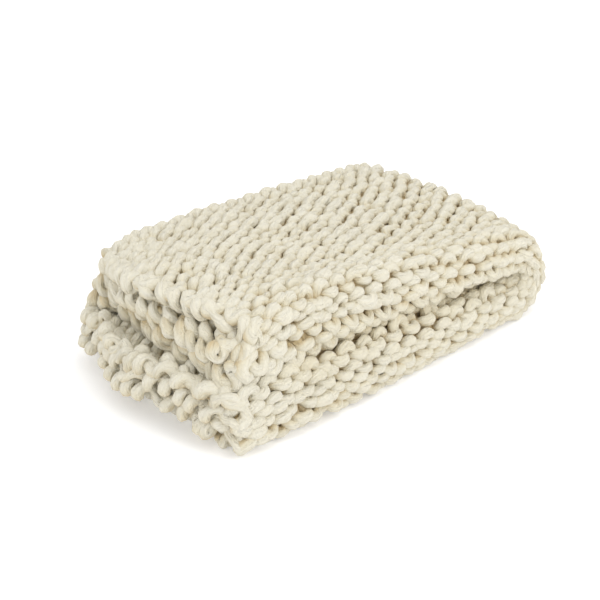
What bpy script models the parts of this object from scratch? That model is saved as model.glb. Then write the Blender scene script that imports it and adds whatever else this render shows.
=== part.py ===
"""A chunky knitted blanket, folded in half lengthwise and in half again, as one thick sheet of cloth.

Frame: metres, +Z up, resting on z = 0, the long side along X. The second fold's turn is at +X, the four
open ends are at -X, and the lengthwise crease is at -Y.
"""
import math

import bmesh
import bpy

# The cloth, laid flat
CLOTH_LENGTH = 1.28
CLOTH_WIDTH = 0.76
CLOTH_THICK = 0.030

# The folded bundle
BUNDLE_LENGTH = 0.65
BUNDLE_WIDTH = 0.375
TURN_RADIUS = 0.037         # middle of the crease pair, round the turn at +X
CREASE_AT_TURN = 0.0177     # half of the space between the two sheets of a pair
CREASE_UPPER = 0.0275
CREASE_LOWER = 0.0345
CREASE_SQUARENESS = 0.14    # how much further out than a round bend the crease's corners reach
PAIR_SPACE = 0.101          # between the two pairs, at the open ends
GIVE_ROUND_TURN = 0.5       # how much of the inner sheets' shorter way shows at the open ends

# How high the bundle has settled: a factor on its even height
SETTLE_COLUMNS = ("back", "middle", "front")
SETTLE = {
    "open end": (0.98, 1.11, 1.02),
    "middle": (1.01, 1.05, 1.10),
    "turn": (1.10, 1.07, 0.95),
}

# How far the long edges lie off their even line, towards +Y
EDGE_COLUMNS = ("open end", "middle", "turn")
EDGES = {
    "back bottom": (0.023, 0.038, -0.028),
    "back top": (-0.032, -0.014, -0.008),
    "front bottom": (0.017, 0.002, 0.009),
    "front top": (0.062, 0.060, 0.017),
}

# How far each sheet's end reaches past its even line, away from the middle
END_COLUMNS = ("front", "middle", "back")
ENDS = {
    "top sheet": (-0.068, -0.004, -0.020),
    "second sheet": (-0.034, -0.030, -0.038),
    "third sheet": (-0.030, 0.008, -0.030),
    "bottom sheet": (-0.005, 0.001, -0.024),
    "turn": (-0.008, 0.004, -0.024),
}

# How far each sheet's end hangs down, within END_HANG_REACH of it
HANG = {"top sheet": 0.012, "second sheet": 0.006, "third sheet": 0.014, "bottom sheet": 0.0}
END_HANG_REACH = 0.09

# How the cloth thins towards its open edges: the distance from the edge and the share of the thickness
EDGE_PROFILE = ((0.0, 0.40), (0.004, 0.76), (0.013, 1.0))

# Hand-made unevenness
END_WAVE = 0.005            # in and out, along the open ends
SHEET_WAVE = 0.0022         # up and down, over the sheets

# Where the sheet's grid lines lie
RUN_STEPS = 22              # along each straight run
TURN_STEPS = 16             # round the turn
SIDE_STEPS = 13             # across each flat half
CREASE_STEPS = 12           # round the crease
CREASE_SPAN = 0.104         # width of cloth that the crease steps cover

WOOL = (0.76, 0.70, 0.58, 1.0)


def through(values, u):
    """The smooth curve through three values, at u = -1, 0 and 1."""
    low, mid, high = values
    u = max(-1.25, min(1.25, u))
    return mid + (high - low) / 2 * u + ((low + high) / 2 - mid) * u * u


def ease(a):
    a = max(0.0, min(1.0, a))
    return a * a * (3 - 2 * a)


def creased(t, half_space, squareness):
    """Across the cloth: y, the rise above the pair's middle, and 1 on the outer sheet to -1 on the inner."""
    flat = (CLOTH_WIDTH - math.pi * half_space) / 2
    centre = -BUNDLE_WIDTH / 2 + CLOTH_THICK / 2 + half_space
    angle = max(0.0, min(math.pi, (t - flat) / half_space))
    bend = half_space * (1 + squareness * math.sin(2 * angle) ** 2)
    rise = bend * math.cos(angle)
    if angle == 0.0:
        return centre + flat - t, rise, 1.0
    if angle == math.pi:
        return centre + t - flat - math.pi * half_space, rise, -1.0
    return centre - bend * math.sin(angle), rise, math.cos(angle)


def place(s, t):
    """The folded place of the cloth's point: s along it, t across it."""
    upper = s < CLOTH_LENGTH / 2
    from_turn = abs(s / (CLOTH_LENGTH / 2) - 1)
    spread = ease((from_turn - 0.05) / 0.75)
    crease_end = CREASE_UPPER if upper else CREASE_LOWER
    half_space = CREASE_AT_TURN + spread * (crease_end - CREASE_AT_TURN)
    y, rise, side = creased(t, half_space, spread * CREASE_SQUARENESS)

    arc = TURN_RADIUS + GIVE_ROUND_TURN * side * CREASE_AT_TURN
    run = (CLOTH_LENGTH - math.pi * arc) / 2
    turn_x = BUNDLE_LENGTH / 2 - TURN_RADIUS - CREASE_AT_TURN - CLOTH_THICK / 2
    turned = max(0.0, min(math.pi, (s - run) / arc))
    lower_pair = CLOTH_THICK / 2 + half_space
    if turned == 0.0:
        x = turn_x - (run - s)
        sign = 1
    elif turned == math.pi:
        x = turn_x - (s - run - math.pi * arc)
        sign = -1
    else:
        x = turn_x + (TURN_RADIUS + rise) * math.sin(turned)
        sign = 0
    away = max(0.0, min(1.3, (turn_x - x) / (BUNDLE_LENGTH - 0.1)))
    space = 2 * TURN_RADIUS + (PAIR_SPACE - 2 * TURN_RADIUS) * away
    if sign == 1:
        z = lower_pair + space + rise
    elif sign == -1:
        z = lower_pair - rise
    else:
        z = CLOTH_THICK / 2 + CREASE_AT_TURN + TURN_RADIUS + (TURN_RADIUS + rise) * math.cos(turned)
    z = max(z, CLOTH_THICK / 2)

    u, v = x / (BUNDLE_LENGTH / 2), y / (BUNDLE_WIDTH / 2)
    height = max(0.0, min(1.1, (z - CLOTH_THICK / 2) / (4 * half_space + space)))
    settled = through([through(SETTLE[row], -v) for row in ("open end", "middle", "turn")], u)
    wave = math.sin(9.0 * u + 2.1 * v + 3.0 * side) * math.cos(5.0 * v - 4.0 * u + 1.3 * side)
    lifted = CLOTH_THICK / 2 + (z - CLOTH_THICK / 2) * settled
    lifted += SHEET_WAVE * wave * ease(height * 2.5) * ease(from_turn * 3 - 0.7)

    back = (1 - height) * through(EDGES["back bottom"], u) + height * through(EDGES["back top"], u)
    front = (1 - height) * through(EDGES["front bottom"], u) + height * through(EDGES["front top"], u)
    across = max(0.0, min(1.1, (1 + v) / 2))

    outer = (1 + side) / 2
    outer_sheet, inner_sheet = ("top sheet", "second sheet") if upper else ("bottom sheet", "third sheet")
    hang = outer * HANG[outer_sheet] + (1 - outer) * HANG[inner_sheet]
    lifted -= hang * ease(1 - min(s, CLOTH_LENGTH - s) / END_HANG_REACH)
    reach = outer * through(ENDS[outer_sheet], v) + (1 - outer) * through(ENDS[inner_sheet], v)
    reach += END_WAVE * math.sin(13.0 * t / BUNDLE_WIDTH + 2.0 * outer + 1.1 * upper)
    x += through(ENDS["turn"], v) * ease(u) - reach * ease(-u)
    return x, y + across * back + (1 - across) * front, lifted


def even_steps(start, end, steps):
    return [start + (end - start) * i / steps for i in range(steps)]


def grid_lines():
    """The places along and across the cloth where the sheet's grid lines lie."""
    turn = math.pi * (TURN_RADIUS + CREASE_AT_TURN)
    return lines_over(CLOTH_LENGTH, turn, RUN_STEPS, TURN_STEPS), \
        lines_over(CLOTH_WIDTH, CREASE_SPAN, SIDE_STEPS, CREASE_STEPS)


def lines_over(whole, bend, side_steps, bend_steps):
    """Lines over one way of the cloth: close at both edges and over the bend in the middle."""
    rim = [distance for distance, share in EDGE_PROFILE]
    lines = rim[:-1] + even_steps(rim[-1], (whole - bend) / 2, side_steps)
    lines += even_steps((whole - bend) / 2, (whole + bend) / 2, bend_steps)
    lines += even_steps((whole + bend) / 2, whole - rim[-1], side_steps)
    return lines + [whole - distance for distance in reversed(rim)]


def thickness_share(from_edge):
    for (near, low), (far, high) in zip(EDGE_PROFILE, EDGE_PROFILE[1:]):
        if from_edge <= near:
            return low
        if from_edge < far:
            return low + (high - low) * (from_edge - near) / (far - near)
    return EDGE_PROFILE[-1][1]


def folded_sheet():
    """The middle surface of the cloth: a grid, with each point moved to its folded place."""
    shares = []
    along, across = grid_lines()
    sheet = bmesh.new()
    bmesh.ops.create_grid(sheet, x_segments=len(along) - 1, y_segments=len(across) - 1, size=0.5)
    columns, rows = len(along) - 1, len(across) - 1
    for point in sheet.verts:
        column = round((point.co.x + 0.5) * columns)
        row = round((point.co.y + 0.5) * rows)
        s, t = along[column], across[row]
        point.co = place(s, t)
        shares.append(thickness_share(min(s, t, CLOTH_LENGTH - s, CLOTH_WIDTH - t)))
    mesh = bpy.data.meshes.new("blanket")
    sheet.to_mesh(mesh)
    sheet.free()
    return mesh, shares


def thicken(piece):
    solid = piece.modifiers.new("thickness", "SOLIDIFY")
    solid.thickness = CLOTH_THICK
    solid.offset = 0.0
    solid.use_rim = True
    solid.vertex_group = piece.vertex_groups["thickness"].name


def rest_at_origin(piece):
    """Keeps the thickened mesh, moved so that its box stands on the origin, centred."""
    done = piece.evaluated_get(bpy.context.evaluated_depsgraph_get())
    mesh = bpy.data.meshes.new_from_object(done)
    piece.modifiers.clear()
    lows = [min(point.co[axis] for point in mesh.vertices) for axis in range(3)]
    highs = [max(point.co[axis] for point in mesh.vertices) for axis in range(3)]
    shift = (-(lows[0] + highs[0]) / 2, -(lows[1] + highs[1]) / 2, -lows[2])
    for point in mesh.vertices:
        point.co.x += shift[0]
        point.co.y += shift[1]
        point.co.z += shift[2]
    mesh.shade_smooth()
    piece.data = mesh
    size = [round(high - low, 4) for low, high in zip(lows, highs)]
    print("blanket", size, "moved by", [round(value, 5) for value in shift])


def wool():
    material = bpy.data.materials.new("wool")
    material.use_nodes = True
    surface = material.node_tree.nodes["Principled BSDF"]
    surface.inputs["Base Color"].default_value = WOOL
    surface.inputs["Roughness"].default_value = 0.9
    surface.inputs["Metallic"].default_value = 0.0
    return material


def main():
    for old in list(bpy.data.objects):
        bpy.data.objects.remove(old, do_unlink=True)
    parts = bpy.data.collections.new("blanket")
    bpy.context.scene.collection.children.link(parts)
    mesh, shares = folded_sheet()
    blanket = bpy.data.objects.new("blanket", mesh)
    parts.objects.link(blanket)
    blanket.data.materials.append(wool())
    thickness = blanket.vertex_groups.new(name="thickness")
    for number, share in enumerate(shares):
        thickness.add([number], share, "REPLACE")
    thicken(blanket)
    bpy.context.view_layer.update()
    rest_at_origin(blanket)


main()
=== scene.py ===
import math
import random

import bpy
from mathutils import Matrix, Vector


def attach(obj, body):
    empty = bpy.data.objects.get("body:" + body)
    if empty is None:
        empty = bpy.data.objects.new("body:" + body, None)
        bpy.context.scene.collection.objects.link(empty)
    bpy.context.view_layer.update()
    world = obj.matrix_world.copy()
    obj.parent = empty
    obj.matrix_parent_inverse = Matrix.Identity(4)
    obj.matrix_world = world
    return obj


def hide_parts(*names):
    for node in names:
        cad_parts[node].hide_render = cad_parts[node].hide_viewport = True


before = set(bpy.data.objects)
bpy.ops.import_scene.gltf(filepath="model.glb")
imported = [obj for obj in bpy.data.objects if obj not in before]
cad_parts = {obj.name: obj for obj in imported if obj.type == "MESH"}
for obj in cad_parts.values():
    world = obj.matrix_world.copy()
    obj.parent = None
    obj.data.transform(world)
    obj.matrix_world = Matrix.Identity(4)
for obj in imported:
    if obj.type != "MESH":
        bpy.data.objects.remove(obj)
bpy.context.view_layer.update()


# A socket that Python's operators can use: each one adds its Math node
class Wire:
    def __init__(self, graph, socket):
        self.graph = graph
        self.socket = socket

    def __add__(self, other):
        return self.graph.maths("ADD", self, other)

    def __sub__(self, other):
        return self.graph.maths("SUBTRACT", self, other)

    def __mul__(self, other):
        return self.graph.maths("MULTIPLY", self, other)


class Graph:
    def __init__(self, tree):
        self.tree = tree
        tree.nodes.clear()

    # One node: its settings go in first, then the values or links of its sockets
    def add(self, kind, settings=None, sockets=None):
        made = self.tree.nodes.new(kind)
        for name, value in (settings or {}).items():
            if name == "stops":
                ramp = made.color_ramp.elements
                while len(ramp) < len(value):
                    ramp.new(0.5)
                for stop, (position, colour) in zip(ramp, value):
                    stop.position = position
                    stop.color = colour
            else:
                setattr(made, name, value)
        for name, value in (sockets or {}).items():
            self.feed(made.inputs[name], value)
        return made

    def feed(self, socket, value):
        if isinstance(value, Wire):
            self.tree.links.new(value.socket, socket)
        elif isinstance(value, bpy.types.NodeSocket):
            self.tree.links.new(value, socket)
        else:
            socket.default_value = value

    def wire(self, node, output=0):
        return Wire(self, node.outputs[output])

    def maths(self, operation, *values):
        return self.wire(self.add("ShaderNodeMath", {"operation": operation}, dict(enumerate(values))))

    def noise(self, vector, scale, detail=3.0, roughness=0.5):
        sockets = {"Vector": vector, "Scale": scale, "Detail": detail, "Roughness": roughness}
        return self.wire(self.add("ShaderNodeTexNoise", None, sockets))

    # An attribute of the mesh, in a material
    def attribute(self, name, output):
        return self.wire(self.add("ShaderNodeAttribute", {"attribute_name": name}), output)

    # The same in a geometry tree
    def named(self, name, kind="FLOAT"):
        return self.wire(self.add("GeometryNodeInputNamedAttribute", {"data_type": kind}, {"Name": name}))

    def store(self, geometry, name, kind, value):
        sockets = {"Geometry": geometry, "Name": name, "Value": value}
        made = self.add("GeometryNodeStoreNamedAttribute", {"data_type": kind, "domain": "POINT"}, sockets)
        return made.outputs[0]

    # A curve with its own Length or Factor held on its points, and that measure
    def measured(self, curve, measure):
        held = self.add("GeometryNodeCaptureAttribute", None, {"Geometry": curve})
        held.capture_items.new("FLOAT", measure)
        self.feed(held.inputs[1], self.add("GeometryNodeSplineParameter").outputs[measure])
        return held.outputs[0], Wire(self, held.outputs[1])


# How the cloth lies: the folds of its solid, with the crease a little squarer

fold = {
    "length": 1.28,           # of the cloth laid flat
    "width": 0.76,
    "thick": 0.030,
    "bundleLength": 0.65,
    "bundleWidth": 0.375,
    "turnRadius": 0.037,
    "creaseAtTurn": 0.0177,
    "creaseUpper": 0.0275,
    "creaseLower": 0.0345,
    "pairSpace": 0.101,
    "giveRoundTurn": 0.5,
    "hangReach": 0.09,
    "endWave": 0.005,
    "sheetWave": 0.0022,
    "square": 0.28,           # how much squarer than round the crease is
    "pairReach": 0.12,        # share of the width, past the crease, before the inner sheets count in full
    "shift": (0.01177, -0.02564),              # what centres the solid on its footprint
}
settle = (                                     # back, middle, front
    (0.98, 1.11, 1.02),                        # open end
    (1.01, 1.05, 1.10),                        # middle
    (1.10, 1.07, 0.95),                        # turn
)
edges = {
    "backBottom": (0.023, 0.038, -0.028),
    "backTop": (-0.032, -0.014, -0.008),
    "frontBottom": (0.017, 0.002, 0.009),
    "frontTop": (0.062, 0.060, 0.017),
}
ends = {
    "top": (-0.068, -0.004, -0.020),
    "second": (-0.034, -0.030, -0.038),
    "third": (-0.030, 0.008, -0.030),
    "bottom": (-0.005, 0.001, -0.024),
    "turn": (-0.008, 0.004, -0.024),
}
hang = {"top": 0.012, "second": 0.006, "third": 0.014, "bottom": 0.0}


def ease(a):
    a = max(0.0, min(1.0, a))
    return a * a * (3 - 2 * a)


def through(values, u):
    low, mid, high = values
    u = max(-1.25, min(1.25, u))
    return mid + (high - low) / 2 * u + ((low + high) / 2 - mid) * u * u


# 1 at the open ends, 0 from this far in
def nearEnd(s, reach):
    return ease(1 - min(s, fold["length"] - s) / reach)


# 0 on the outer sheets of the pairs, 1 on the inner ones
def onInner(t):
    return ease((t / fold["width"] - 0.5) / fold["pairReach"])


# The folded place of the cloth's point: s along it, t across it, out above its middle on the bumpy side
def place(s, t, out=0.0):
    f = fold
    upper = s < f["length"] / 2
    fromTurn = abs(s / (f["length"] / 2) - 1)
    creaseEnd = f["creaseUpper"] if upper else f["creaseLower"]
    spread = ease((fromTurn - 0.05) / 0.75)
    half = f["creaseAtTurn"] + spread * (creaseEnd - f["creaseAtTurn"])
    flat = (f["width"] - math.pi * half) / 2
    centre = -f["bundleWidth"] / 2 + f["thick"] / 2 + half
    angle = max(0.0, min(math.pi, (t - flat) / half))
    side = math.cos(angle)
    bend = (half + out) * (1 + f["square"] * spread * math.sin(2 * angle) ** 2)
    if angle == 0.0:
        y = centre + flat - t
    elif angle == math.pi:
        y = centre + t - flat - math.pi * half
    else:
        y = centre - bend * math.sin(angle)
    rise = side * bend

    arc = f["turnRadius"] + f["giveRoundTurn"] * side * f["creaseAtTurn"]
    run = (f["length"] - math.pi * arc) / 2
    turnX = f["bundleLength"] / 2 - f["turnRadius"] - f["creaseAtTurn"] - f["thick"] / 2
    turned = max(0.0, min(math.pi, (s - run) / arc))
    if turned == 0.0:
        x = turnX - (run - s)
    elif turned == math.pi:
        x = turnX - (s - run - math.pi * arc)
    else:
        x = turnX + (f["turnRadius"] + rise) * math.sin(turned)
    away = max(0.0, min(1.3, (turnX - x) / (f["bundleLength"] - 0.1)))
    space = 2 * f["turnRadius"] + (f["pairSpace"] - 2 * f["turnRadius"]) * away
    lowerPair = f["thick"] / 2 + half
    if turned == 0.0:
        z = lowerPair + space + rise
    elif turned == math.pi:
        z = lowerPair - rise
    else:
        z = f["thick"] / 2 + f["creaseAtTurn"] + f["turnRadius"] + (f["turnRadius"] + rise) * math.cos(turned)

    u, v = x / (f["bundleLength"] / 2), y / (f["bundleWidth"] / 2)
    z = max(z, f["thick"] / 2 - abs(out))
    height = max(0.0, min(1.1, (z - f["thick"] / 2) / (4 * half + space)))
    wave = math.sin(9.0 * u + 2.1 * v + 3.0 * side) * math.cos(5.0 * v - 4.0 * u + 1.3 * side)
    lifted = f["thick"] / 2 + (z - f["thick"] / 2) * through([through(row, -v) for row in settle], u)
    lifted += f["sheetWave"] * wave * ease(height * 2.5) * ease(fromTurn * 3 - 0.7)

    back = (1 - height) * through(edges["backBottom"], u) + height * through(edges["backTop"], u)
    front = (1 - height) * through(edges["frontBottom"], u) + height * through(edges["frontTop"], u)
    across = max(0.0, min(1.1, (1 + v) / 2))

    outer = (1 + side) / 2
    outerSheet, innerSheet = ("top", "second") if upper else ("bottom", "third")
    drop = outer * hang[outerSheet] + (1 - outer) * hang[innerSheet]
    lifted -= drop * nearEnd(s, f["hangReach"])
    reach = outer * through(ends[outerSheet], v) + (1 - outer) * through(ends[innerSheet], v)
    reach += f["endWave"] * math.sin(13.0 * t / f["bundleWidth"] + 2.0 * outer + 1.1 * upper)
    x += through(ends["turn"], v) * ease(u) - reach * ease(-u)
    shift = f["shift"]
    return Vector((x + shift[0], y + across * back + (1 - across) * front + shift[1], lifted))


# Wool: painted highlight, pale, where the yarn stands out, and painted shade, tan, between the loops

wool = {
    # pale: painted highlight where the yarn stands out; light: the yarn's own cream; deep: painted shade
    # between the loops
    "pale": (0.82, 0.787, 0.675, 1),
    "light": (0.765, 0.705, 0.54, 1),
    "deep": (0.67, 0.54, 0.32, 1),
    "sunk": 0.002,            # heights from the middle of the cloth for the painted shade (deep) and the painted highlight (pale)
    "raised": 0.0145,
    "shadeAndHighlightByHeight": 0.75,         # shares of the height (painted shade and highlight), the streaks and the clouds in the colour
    "byStreak": 0.70,
    "byCloud": 0.30,
    "darker": 0.45,           # taken off their sum
    "shade": 0.48,            # how much deeper the colour is, as painted shade, where the two pairs meet at the crease
    "fibresAcross": 330,      # streaks a metre, round the yarn
    "fibreStretch": 0.16,     # scale along the yarn against round it: below 1 draws the streaks out
    "clouds": 22.0,           # a metre
    "fuzz": 330.0,
    "streakRelief": 1.2,      # shares in the bump
    "fuzzRelief": 0.9,
    "plyRelief": 0.5,
    "bump": 0.8,
    "bumpDepth": 0.004,
}


def newMaterial(name):
    material = bpy.data.materials.new(name)
    material.use_nodes = True
    return material, Graph(material.node_tree)


def finishSurface(g, sockets):
    surface = g.add("ShaderNodeBsdfPrincipled", None, sockets)
    g.add("ShaderNodeOutputMaterial", None, {"Surface": surface.outputs["BSDF"]})


def makeWool():
    material, g = newMaterial("wool")
    fibre = g.attribute("fibre", "Vector")
    stretch = (1, 1, wool["fibreStretch"])
    drawn = g.wire(g.add("ShaderNodeVectorMath", {"operation": "MULTIPLY"}, {0: fibre, 1: stretch}))
    streak = g.noise(drawn, wool["fibresAcross"], roughness=0.6)
    where = g.wire(g.add("ShaderNodeTexCoord"), "Object")
    cloud = g.noise(where, wool["clouds"])
    fuzz = g.noise(where, wool["fuzz"], roughness=0.6)

    # Painted shade and highlight: the colour runs from deep to pale as the yarn stands higher above the
    # middle of the cloth, and is deeper, as painted shade, where the two pairs meet at the crease. The
    # streaks and clouds are the yarn's own tone
    level = g.maths("ABSOLUTE", g.attribute("height", "Fac"))
    heights = {"Value": level, "From Min": wool["sunk"], "From Max": wool["raised"]}
    raised = g.wire(g.add("ShaderNodeMapRange", None, heights))
    amount = raised * wool["shadeAndHighlightByHeight"] + streak * wool["byStreak"] + cloud * wool["byCloud"]
    amount = amount - wool["darker"] - g.attribute("shade", "Fac") * wool["shade"]
    stops = [(0.0, wool["deep"]), (0.5, wool["light"]), (1.0, wool["pale"])]
    ramp = g.add("ShaderNodeValToRGB", {"stops": stops}, {"Fac": amount})

    # Three plies: the cosine of three times the angle round the yarn
    turn = g.wire(g.add("ShaderNodeSeparateXYZ", None, {"Vector": fibre})) * (1 / knit["yarn"])
    ply = turn * turn * turn * 4.0 - turn * 3.0
    relief = streak * wool["streakRelief"] + fuzz * wool["fuzzRelief"] + ply * wool["plyRelief"]
    bump = g.add("ShaderNodeBump", None,
                 {"Height": relief, "Strength": wool["bump"], "Distance": wool["bumpDepth"]})
    finishSurface(g, {
        "Base Color": ramp.outputs["Color"], "Roughness": 0.92, "Sheen Weight": 0.12, "Sheen Roughness": 0.6,
        "Specular IOR Level": 0.15, "Normal": bump.outputs["Normal"]})
    return material


# The knitting: one yarn, to and fro along the cloth, its bumpy side out

knit = {
    "rows": 36,
    "stitches": 34,           # in a row
    "end": 0.017,             # from the cloth's end to the first stitch
    "side": 0.020,            # from the cloth's long side to the middle of the first row
    "crowd": 0.7,             # how much closer the rows are where the crease stretches them
    "crowdWidth": 0.055,
    "turnCrowd": 0.35,        # the same for the stitches, round the second fold
    "turnCrowdWidth": 0.075,
    "lean": 0.18,             # how far each leg leans, in stitches
    "leanVaries": 0.10,
    "tilt": 0.12,             # how far the yarn's own twist tips each bump on the flat, in rows
    "tiltFrom": 1.5,          # how far from the crease it does so, in crowd widths
    "pinch": 0.03,            # how much thinner the yarn is where other loops hold it
    "tall": 0.84,             # half a loop's height, in rows
    "deep": 0.0080,           # half of the way from the bumpy side to the smooth side
    "yarn": 0.0079,           # the yarn's radius
    "thickThin": 0.11,        # share by which the yarn's radius varies
    "slowSwell": 0.04,        # the same, slowly along the yarn
    "slowSwellTurn": 0.21,    # radians a point
    "steps": 22,              # points a stitch
    "uneven": 0.0024,         # how far a loop strays
    "drift": 0.0035,          # how far the rows wander
    "driftFade": 0.1,         # how far in from the long sides their sway is less
    "slant": 0.20,            # how far the columns of stitches run off square
    "slantFade": 0.2,         # how far in from the open ends they do so less
    "turnSteps": 7,           # of the yarn's turn where a row ends
    "turnOut": 0.008,         # how far the yarn stands out there
    "turnSink": 0.5,          # how far it sinks there, in depths of a loop
    "turnSwell": 0.12,
    "bunch": 0.3,             # how much deeper the loops are at the open ends
    "bunchReach": 0.085,
    "bunchSwell": 0.12,       # how much thicker the yarn is there
    "bunchLift": 0.009,       # the least height that its painted shade and highlight are taken at there
    "fill": 0.006,            # how far the loops puff out where the two pairs meet at the crease
    "fillReach": 0.035,
    "gapPlace": 0.042,        # from the middle of the crease to where the painted shade is deepest
    "gapReach": 0.026,
    "gapFromEnd": 0.06,       # the painted shade starts this far from the open ends
    "gapFade": 0.08,
    "lump": (0.0022, 0.013),  # the yarn's lumps: height and size
    "twist": 9.0,             # turns a metre
    "sides": 10,
    "clear": 0.3,             # how far the yarn keeps off the floor, in heights of its lumps
    "probe": 0.002,           # a step outwards, to find which way the cloth faces
    "seed": 7,
}


# The stitches wander a little. Their slant fades towards the open ends, and their sway across the cloth
# towards its long sides
def drifted(s, t):
    middle = ease(s / knit["slantFade"]) * ease((fold["length"] - s) / knit["slantFade"])
    slide = knit["slant"] * (t - fold["width"] / 2) * middle
    inside = ease(t / knit["driftFade"]) * ease((fold["width"] - t) / knit["driftFade"])
    alongWave = math.sin(9.0 * t + 2.0) * math.sin(5.3 * s + 1.0)
    acrossWave = math.sin(7.1 * s + 0.6) * math.cos(6.0 * t + 0.4)
    return s + slide + knit["drift"] * alongWave, t + 2 * knit["drift"] * acrossWave * inside


# Places from first to last, closer together round the middle, where a bend stretches the cloth
def crowded(first, last, count, crowd, width):
    parts = 800
    places = [first + (last - first) * n / parts for n in range(parts + 1)]
    sums = [0.0]
    for spot in places[1:]:
        sums.append(sums[-1] + 1 + crowd * math.exp(-((spot - (first + last) / 2) / width) ** 2))
    return [places[min(range(parts + 1), key=lambda n: abs(sums[n] - sums[-1] * number / count))]
            for number in range(count + 1)]


def rowOfLoops(middles, stitchEnds, row, rng):
    k = knit
    middle = middles[row]
    lower, upper = max(row - 1, 0), min(row + 1, k["rows"] - 1)
    high = (middles[upper] - middles[lower]) / (upper - lower)
    fromCrease = (middle - fold["width"] / 2) / (k["tiltFrom"] * k["crowdWidth"])
    tilt = k["tilt"] * (1 - math.exp(-fromCrease ** 2))
    points = []
    for stitch in range(k["stitches"]):
        strayS, strayT, strayOut = (rng.gauss(0, 1) * k["uneven"] for n in range(3))
        lean = k["lean"] * (1 + rng.gauss(0, k["leanVaries"]))
        wide = stitchEnds[stitch + 1] - stitchEnds[stitch]
        swell = 1 + rng.gauss(0, 1) * k["thickThin"]
        for step in range(k["steps"] + (stitch == k["stitches"] - 1)):
            a = -math.pi + 2 * math.pi * step / k["steps"]
            head = (1 + math.cos(a)) / 2
            s = stitchEnds[stitch] + wide * (0.5 + a / (2 * math.pi) + lean * math.sin(2 * a)) + strayS * head
            t = middle + high * (k["tall"] * math.cos(a) - tilt * math.sin(2 * a)) + strayT * head
            out = k["deep"] * math.cos(2 * a) + strayOut * head
            points.append((s, t, out, (1 + (swell - 1) * head) * (1 + k["pinch"] * math.cos(2 * a))))
    return points


# Where a row ends, the yarn turns back to start the next
def rowTurn(last, first, side):
    turned = []
    for step in range(1, knit["turnSteps"]):
        part = step / knit["turnSteps"]
        bulge = math.sin(math.pi * part)
        s, t, out = (last[n] + (first[n] - last[n]) * part for n in range(3))
        turned.append((s + side * knit["turnOut"] * bulge, t,
                       out - knit["turnSink"] * knit["deep"] * bulge, 1.0 + knit["turnSwell"] * bulge))
    return turned


# The cast-on and cast-off: two strands round each other along a long side

rope = {
    "fromSide": 0.007,
    "fromEnd": 0.8,           # in knit's own ends
    "phases": (0.3, 1.2),     # where its coils start, on each side
    "across": 0.0065,
    "rise": 0.007,
    "stepsAStitch": 14,
    "tip": 0.45,              # the yarn's thickness at a strand's tip, and how much it gains
    "gain": 0.5,
    "tipSteps": 8,
    # the height that its painted shade and highlight are taken at
    "lift": 0.011,
    "lump": (0.0035, 0.018),
}


def ropeAlong(t, phase):
    strands = []
    first = rope["fromEnd"] * knit["end"]
    wide = (fold["length"] - 2 * knit["end"]) / knit["stitches"]
    count = rope["stepsAStitch"] * knit["stitches"]
    for strand in range(2):
        points = []
        for step in range(count + 1):
            s = first + (fold["length"] - 2 * first) * step / count
            a = 2 * math.pi * s / wide + phase + math.pi * strand
            fade = ease(min(step, count - step) / rope["tipSteps"])
            points.append((s, t + rope["across"] * fade * math.cos(a), rope["rise"] * fade * math.sin(a),
                           rope["tip"] + rope["gain"] * fade))
        strands.append(points)
    return strands


# The open ends: strands that wander round each other over the ends of the rows, two at each level

brim = {
    "fromEnd": 0.010,
    "fromSide": 0.012,
    "upperLevels": (-0.010, 0.0085),
    "lowerLevels": (-0.024, -0.008, 0.0085),
    "behind": 0.011,          # how much further in the second strand of a level lies
    "outside": 0.0085,        # how much lower the strands lie on the outer sheets
    "coil": 0.031,            # length of one coil of a level's first strand
    "across": 0.0066,
    "rise": 0.0066,
    "stepsARow": 16,
    "tip": 0.45,
    "gain": 0.43,
    "tipSteps": 8,
    "thickThin": ((0.26, 247),),               # waves: the size of each and its radians a metre
    "wander": ((0.0042, 171), (0.0035, 103)),
    "climb": ((0.0050, 149), (0.0035, 217)),
    "coilWander": ((1.9, 37), (0.7, 83)),
    "coilClimb": ((0.0022, 59),),
    # the height that its painted shade and highlight are taken at
    "lift": 0.012,
    "lump": (0.0048, 0.021),
}


def waves(t, shapes, starts):
    return sum(size * math.sin(often * t + start) for (size, often), start in zip(shapes, starts))


# How far a level's second strand strays in and up at a place
def strayed(t, wild):
    return waves(t, brim["wander"], wild[:2]), waves(t, brim["climb"], wild[2:4])


# The same for its first strand, which coils unevenly
def coiled(t, wild):
    coil = 2 * math.pi * t / brim["coil"] + waves(t, brim["coilWander"], (wild[0], wild[5]))
    climb = brim["rise"] * math.sin(coil) + waves(t, brim["coilClimb"], wild[3:4])
    return brim["across"] * math.cos(coil), climb


def strandsAcross(s, inward, levels, rng):
    strands = []
    count = brim["stepsARow"] * knit["rows"]
    first, last = brim["fromSide"], fold["width"] - brim["fromSide"]
    for strand in range(2 * len(levels)):
        points = []
        second = strand % 2
        low = levels[strand // 2]
        wild = [rng.uniform(0, 2 * math.pi) for n in range(6)]
        for step in range(count + 1):
            t = first + (last - first) * step / count
            wander, climb = strayed(t, wild) if second else coiled(t, wild)
            fade = ease(min(step, count - step) / brim["tipSteps"])
            out = fade * (low + climb) - brim["outside"] * (1 - onInner(t))
            size = (brim["tip"] + brim["gain"] * fade) * (1 + waves(t, brim["thickThin"], wild[4:5]))
            points.append((s + inward * (second * brim["behind"] + fade * wander), t, out, size))
        strands.append(points)
    return strands
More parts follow.
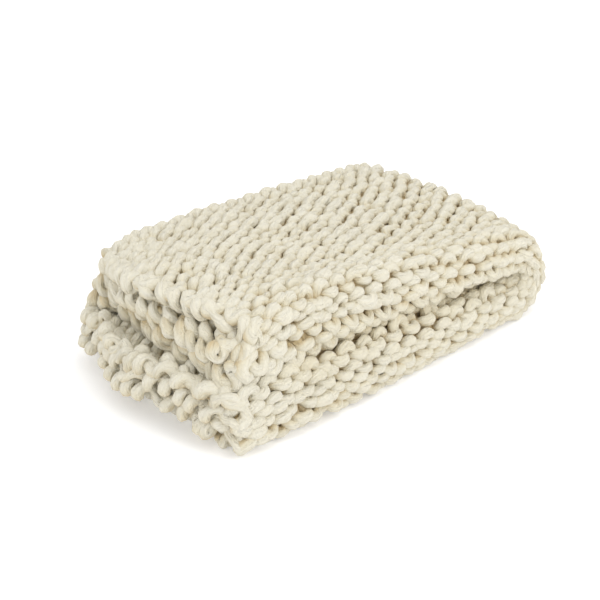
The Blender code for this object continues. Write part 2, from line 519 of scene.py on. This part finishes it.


# Spins each line into a tube of yarn with lumps. It keeps the place on the yarn's skin as "fibre", and
# the height above the middle of the cloth as "height", which the wool's painted shade and highlight follow
def yarnTree(material):
    tree = bpy.data.node_groups.new("spinYarn", "GeometryNodeTree")
    face = tree.interface
    face.new_socket(name="Geometry", in_out="OUTPUT", socket_type="NodeSocketGeometry")
    face.new_socket(name="Geometry", in_out="INPUT", socket_type="NodeSocketGeometry")
    decimal = "NodeSocketFloat"
    lumpHeight, lumpSize = knit["lump"]
    for name, kind, value in (("Sides", "NodeSocketInt", knit["sides"]), ("Lump Height", decimal, lumpHeight),
                              ("Lump Size", decimal, lumpSize), ("Twist", decimal, knit["twist"]),
                              ("Seed", decimal, 3.0)):
        face.new_socket(name=name, in_out="INPUT", socket_type=kind).default_value = value
    g = Graph(tree)
    given = g.add("NodeGroupInput").outputs

    curve = g.add("GeometryNodeMeshToCurve", None, {"Mesh": given["Geometry"]})
    sized = g.add("GeometryNodeSetCurveRadius", None,
                  {"Curve": curve.outputs[0], "Radius": g.named("thick")})
    middleLine, length = g.measured(sized.outputs[0], "Length")
    circle = {"Resolution": given["Sides"], "Radius": 1.0}
    ring = g.add("GeometryNodeCurvePrimitiveCircle", {"mode": "RADIUS"}, circle)
    profile, around = g.measured(ring.outputs[0], "Factor")
    radius = g.add("GeometryNodeInputRadius").outputs[0]
    tube = g.add("GeometryNodeCurveToMesh", None,
                 {"Curve": middleLine, "Profile Curve": profile, "Scale": radius, "Fill Caps": True})

    angle = around * (2 * math.pi) + length * Wire(g, given["Twist"]) * (2 * math.pi)
    aside, above = g.maths("COSINE", angle) * knit["yarn"], g.maths("SINE", angle) * knit["yarn"]
    fibre = g.add("ShaderNodeCombineXYZ", None, {"X": aside, "Y": above, "Z": length})
    kept = g.store(tube.outputs[0], "fibre", "FLOAT_VECTOR", fibre.outputs[0])
    where = g.wire(g.add("GeometryNodeInputPosition"))
    centre, faced = g.named("centre", "FLOAT_VECTOR"), g.named("faced", "FLOAT_VECTOR")
    offset = g.add("ShaderNodeVectorMath", {"operation": "SUBTRACT"}, {0: where, 1: centre})
    rise = g.add("ShaderNodeVectorMath", {"operation": "DOT_PRODUCT"}, {0: offset.outputs[0], 1: faced})
    kept = g.store(kept, "height", "FLOAT", g.wire(rise, "Value") + g.named("out"))

    fineness = g.maths("DIVIDE", 1.0, given["Lump Size"])
    lumps = g.wire(g.add("ShaderNodeTexNoise", {"noise_dimensions": "4D"},
                         {"Vector": where, "W": given["Seed"], "Scale": fineness, "Detail": 2.0}))
    height = (lumps - 0.5) * Wire(g, given["Lump Height"]) * 2.0
    normal = g.add("GeometryNodeInputNormal").outputs[0]
    push = g.add("ShaderNodeVectorMath", {"operation": "SCALE"}, {0: normal, "Scale": height})
    moved = g.add("GeometryNodeSetPosition", None, {"Geometry": kept, "Offset": push.outputs[0]})
    smooth = g.add("GeometryNodeSetShadeSmooth", None, {"Geometry": moved.outputs[0]})
    real = g.add("GeometryNodeRealizeInstances", None, {"Geometry": smooth.outputs[0]})
    painted = g.add("GeometryNodeSetMaterial", None, {"Geometry": real.outputs[0], "Material": material})
    g.feed(g.add("NodeGroupOutput").inputs[0], painted.outputs[0])
    return tree


# Loops are deeper at the open ends, and puff out where the two pairs face each other at the crease
def puffed(t, out, bunched):
    within = 1.0 if out < 0 else onInner(t)
    out *= 1 + knit["bunch"] * bunched * within
    if out > 0:
        fromCrease = (t - fold["width"] / 2 - knit["fillReach"]) / knit["fillReach"]
        out += knit["fill"] * math.exp(-fromCrease * fromCrease)
    return out


# Painted shade: 1 where the two pairs meet at the crease, 0 away from there and at the open ends
def gapShade(s, t):
    inGap = (t - fold["width"] / 2 - knit["gapPlace"]) / knit["gapReach"]
    fromEnd = min(s, fold["length"] - s)
    return math.exp(-inGap * inGap) * ease((fromEnd - knit["gapFromEnd"]) / knit["gapFade"])


# Runs of cloth points become lines in the folded place, and the tree spins them into yarn
# A lift is the height that the painted shade and highlight of the colour are taken at for all of them
def spin(name, runs, tree, rng, lift=0.0, lump=knit["lump"]):
    points, lines = [], []
    kept = {"thick": [], "out": [], "shade": [], "faced": [], "centre": []}
    for run in runs:
        first = len(points)
        swell = rng.random() * 10
        for number, (s, t, out, size) in enumerate(run):
            bunched = nearEnd(s, knit["bunchReach"])
            out = puffed(t, out, bunched)
            size *= 1 + knit["bunchSwell"] * bunched
            s, t = drifted(s, t)
            here = place(s, t, out)
            kept["faced"].extend((place(s, t, out + knit["probe"]) - here).normalized())
            # the height that the painted shade and highlight are taken at: a lift, or at least bunchLift at
            # the open ends
            kept["out"].append(lift or math.copysign(max(abs(out), knit["bunchLift"] * bunched), out))
            # painted shade where the two pairs meet at the crease
            kept["shade"].append(gapShade(s, t))
            slowly = math.sin(number * knit["slowSwellTurn"] + swell)
            radius = knit["yarn"] * size * (1 + knit["slowSwell"] * slowly)
            kept["thick"].append(radius)
            here.z = max(here.z, radius + knit["clear"] * lump[0])
            kept["centre"].extend(here)
            points.append(here)
        lines += [(first + n, first + n + 1) for n in range(len(run) - 1)]
    mesh = bpy.data.meshes.new(name)
    mesh.from_pydata(points, lines, [])
    for attribute in ("thick", "out", "shade"):
        mesh.attributes.new(attribute, "FLOAT", "POINT").data.foreach_set("value", kept[attribute])
    for attribute in ("faced", "centre"):
        mesh.attributes.new(attribute, "FLOAT_VECTOR", "POINT").data.foreach_set("vector", kept[attribute])
    piece = bpy.data.objects.new(name, mesh)
    bpy.context.scene.collection.objects.link(piece)
    modifier = piece.modifiers.new("spinYarn", "NODES")
    modifier.node_group = tree
    wanted = {"Lump Height": lump[0], "Lump Size": lump[1]}
    for item in tree.interface.items_tree:
        if item.in_out == "INPUT" and item.name in wanted:
            modifier[item.identifier] = wanted[item.name]
    done = piece.evaluated_get(bpy.context.evaluated_depsgraph_get())
    made = bpy.data.meshes.new_from_object(done)
    piece.modifiers.clear()
    piece.data = made
    print(name, len(made.polygons), "faces")
    return piece


# Every other row runs back
def toAndFro(rows, row):
    return rows[row] if row % 2 == 0 else rows[row][::-1]


def knitPieces(tree):
    rng = random.Random(knit["seed"])
    k = knit
    length, width = fold["length"], fold["width"]
    middles = crowded(k["side"], width - k["side"], k["rows"] - 1, k["crowd"], k["crowdWidth"])
    stitchEnds = crowded(k["end"], length - k["end"], k["stitches"], k["turnCrowd"], k["turnCrowdWidth"])
    rows = [rowOfLoops(middles, stitchEnds, row, rng) for row in range(k["rows"])]
    names = ("rowsOuterBack", "rowsOuterFront", "rowsInnerFront", "rowsInnerBack")
    share = k["rows"] // len(names)
    pieces = []
    for number, name in enumerate(names):
        start, end = number * share, (number + 1) * share
        run = []
        for row in range(start, end):
            loops = toAndFro(rows, row)
            if run:
                run += rowTurn(run[-1], loops[0], 1 if row % 2 else -1)
            run += loops
        if end < k["rows"]:
            after = toAndFro(rows, end)
            run += rowTurn(run[-1], after[0], 1 if end % 2 else -1) + [after[0]]
        pieces.append(spin(name, [run], tree, rng))
    openEnds = strandsAcross(brim["fromEnd"], 1, brim["upperLevels"], rng)
    openEnds += strandsAcross(length - brim["fromEnd"], -1, brim["lowerLevels"], rng)
    pieces.append(spin("openEnds", openEnds, tree, rng, brim["lift"], brim["lump"]))
    longSides = ropeAlong(rope["fromSide"], rope["phases"][0])
    longSides += ropeAlong(width - rope["fromSide"], rope["phases"][1])
    pieces.append(spin("longSides", longSides, tree, rng, rope["lift"], rope["lump"]))
    return pieces


# The thin layer inside the loops. It stands for the inner yarn, and its darker tan is painted shade for that
# yarn where it shows between the stitches

inner = {
    "along": 150,             # steps of its grid
    "across": 90,
    "inset": 0.016,
    "thick": 0.003,
    # dark and light: a mottled tan darker than the wool, as painted shade
    "dark": (0.52, 0.40, 0.22, 1),
    "light": (0.66, 0.54, 0.34, 1),
    "clouds": 90.0,
}


def makeInnerShade():
    material, g = newMaterial("innerShadeWool")
    cloud = g.noise(g.wire(g.add("ShaderNodeTexCoord"), "Object"), inner["clouds"], detail=4.0)
    stops = [(0.3, inner["dark"]), (0.7, inner["light"])]
    ramp = g.add("ShaderNodeValToRGB", {"stops": stops}, {"Fac": cloud})
    bump = g.add("ShaderNodeBump", None, {"Height": cloud, "Strength": 0.5, "Distance": 0.003})
    finishSurface(g, {
        "Base Color": ramp.outputs["Color"], "Roughness": 0.95, "Specular IOR Level": 0.1,
        "Normal": bump.outputs["Normal"]})
    return material


def innerSheet(material):
    vertices, faces = [], []
    inset = inner["inset"]
    for i in range(inner["along"] + 1):
        for j in range(inner["across"] + 1):
            s = inset + (fold["length"] - 2 * inset) * i / inner["along"]
            t = inset + (fold["width"] - 2 * inset) * j / inner["across"]
            vertices.append(place(s, t))
    rows = inner["across"] + 1
    for i in range(inner["along"]):
        for j in range(inner["across"]):
            a = i * rows + j
            faces.append((a, a + 1, a + rows + 1, a + rows))
    mesh = bpy.data.meshes.new("innerSheet")
    mesh.from_pydata(vertices, [], faces)
    mesh.materials.append(material)
    mesh.shade_smooth()
    piece = bpy.data.objects.new("innerSheet", mesh)
    bpy.context.scene.collection.objects.link(piece)
    wall = piece.modifiers.new("thickness", "SOLIDIFY")
    wall.thickness = inner["thick"]
    wall.offset = 0.0
    return piece


# Stage, light and camera

studio = {
    "azimuth": -41.84,
    "elevation": 29.96,
    "distance": 2.1,
    "lens": 85.4,
    "target": (-0.0591, -0.0068, 0.0834),      # before the cloth's shift
    "floor": (0.93, 0.93, 0.94, 1),
    "floorSize": 30,
    "floorGlow": 0.2,
    "sky": 0.90,
    "lamps": (                                 # name, azimuth, elevation, distance, size, power
        ("above", 20, 78, 2.6, 1.6, 12),
        ("front", 10, 36, 3.0, 1.4, 16),
        ("left", -85, 30, 3.0, 1.8, 9),
    ),
}


def makeStage():
    bpy.ops.mesh.primitive_plane_add(size=studio["floorSize"])
    floor = bpy.context.object
    floor.name = "floor"
    material, g = newMaterial("floor")
    finishSurface(g, {
        "Base Color": studio["floor"], "Roughness": 0.8, "Specular IOR Level": 0.1,
        "Emission Color": (1, 1, 1, 1), "Emission Strength": studio["floorGlow"]})
    floor.data.materials.append(material)


def backTo(azimuth, elevation):
    a, e = math.radians(azimuth), math.radians(elevation)
    return Vector((math.sin(a) * math.cos(e), -math.cos(a) * math.cos(e), math.sin(e)))


def makeCamera():
    data = bpy.data.cameras.new("camera")
    data.lens = studio["lens"]
    data.sensor_width = 36
    camera = bpy.data.objects.new("camera", data)
    bpy.context.scene.collection.objects.link(camera)
    back = backTo(studio["azimuth"], studio["elevation"])
    shift = fold["shift"]
    target = Vector(studio["target"]) + Vector((shift[0], shift[1], 0))
    camera.location = target + back * studio["distance"]
    camera.rotation_euler = back.to_track_quat("Z", "Y").to_euler()
    bpy.context.scene.camera = camera


def areaLight(name, azimuth, elevation, distance, size, power):
    data = bpy.data.lights.new(name, "AREA")
    data.shape = "DISK"
    data.size = size
    data.energy = power
    lamp = bpy.data.objects.new(name, data)
    bpy.context.scene.collection.objects.link(lamp)
    back = backTo(azimuth, elevation)
    lamp.location = back * distance
    lamp.rotation_euler = back.to_track_quat("Z", "Y").to_euler()


def makeLight():
    world = bpy.data.worlds.new("studio")
    bpy.context.scene.world = world
    world.use_nodes = True
    sky = world.node_tree.nodes["Background"]
    sky.inputs["Color"].default_value = (1, 1, 1, 1)
    sky.inputs["Strength"].default_value = studio["sky"]
    for lamp in studio["lamps"]:
        areaLight(*lamp)


woolCloth = makeWool()
innerShadeWool = makeInnerShade()
base = innerSheet(innerShadeWool)
print("inner sheet made")
yarns = knitPieces(yarnTree(woolCloth))
print("knitting made")
for piece in [base] + yarns:
    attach(piece, "root")
    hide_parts("blanket")
makeStage()
makeLight()
makeCamera()
bpy.context.scene.view_settings.view_transform = "Standard"
print("stage, light and camera made")
